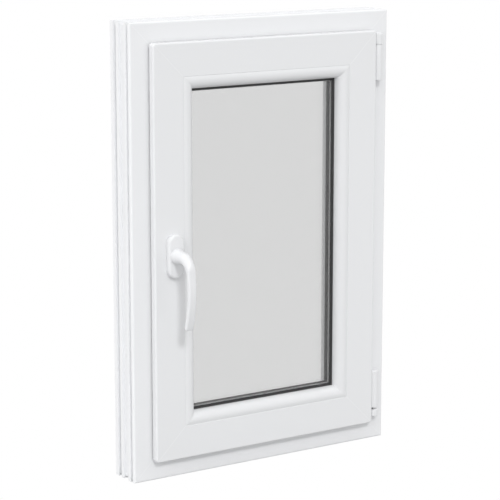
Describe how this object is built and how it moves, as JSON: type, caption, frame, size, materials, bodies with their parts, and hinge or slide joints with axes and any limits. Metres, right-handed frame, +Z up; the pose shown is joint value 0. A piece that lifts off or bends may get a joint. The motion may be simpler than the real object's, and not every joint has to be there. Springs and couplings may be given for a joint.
{
  "type": "basement window",
  "caption": "White plastic double-glazed turn-and-tilt basement window, closed, with a lever handle on the left and hinges on the right.",
  "frame": {"origin": "on the underside of the sill, on the middle rib of the outer frame, half way along the width", "axes": "+X to the right as seen from the room, +Y from the room to the outside, +Z up"},
  "size_m": [0.5, 0.1423, 0.75],
  "materials": {
    "white_upvc": "satin",
    "white_gear": "satin",
    "clear_glass": "polished",
    "black_gasket": "matte",
    "spacer_aluminium": "satin",
    "gear_steel": "satin"
  },
  "bodies": {
    "window": {"frame_sill": "white_upvc", "frame_right_jamb": "white_upvc", "frame_head": "white_upvc", "frame_left_jamb": "white_upvc", "sash_bottom_rail": "white_upvc", "sash_right_stile": "white_upvc", "sash_top_rail": "white_upvc", "sash_left_stile": "white_upvc", "glazing_bead_bottom": "white_upvc", "glazing_bead_right": "white_upvc", "glazing_bead_top": "white_upvc", "glazing_bead_left": "white_upvc", "drain_cap_left": "white_upvc", "drain_cap_right": "white_upvc", "glass_inner_pane": "clear_glass", "glass_outer_pane": "clear_glass", "glass_spacer_bar": "spacer_aluminium", "bead_gasket": "black_gasket", "outer_glazing_gasket": "black_gasket", "sash_stop_gasket": "black_gasket", "frame_lip_gasket": "black_gasket", "upper_hinge_bearing": "white_gear", "upper_hinge_eye": "white_gear", "lower_hinge_bearing": "white_gear", "lower_hinge_band": "white_gear", "handle_rosette": "white_gear", "upper_hinge_pin": "gear_steel", "lower_hinge_pin": "gear_steel"},
    "handle": {"handle_lever": "white_gear", "handle_spindle": "gear_steel"}
  },
  "joints": [
    {"name": "handle_turn", "type": "hinge", "parent": "window", "child": "handle", "pos_m": [-0.1815, -0.05625, 0.375], "axis": [0, -1, 0], "range_deg": [0, 180]}
  ]
}
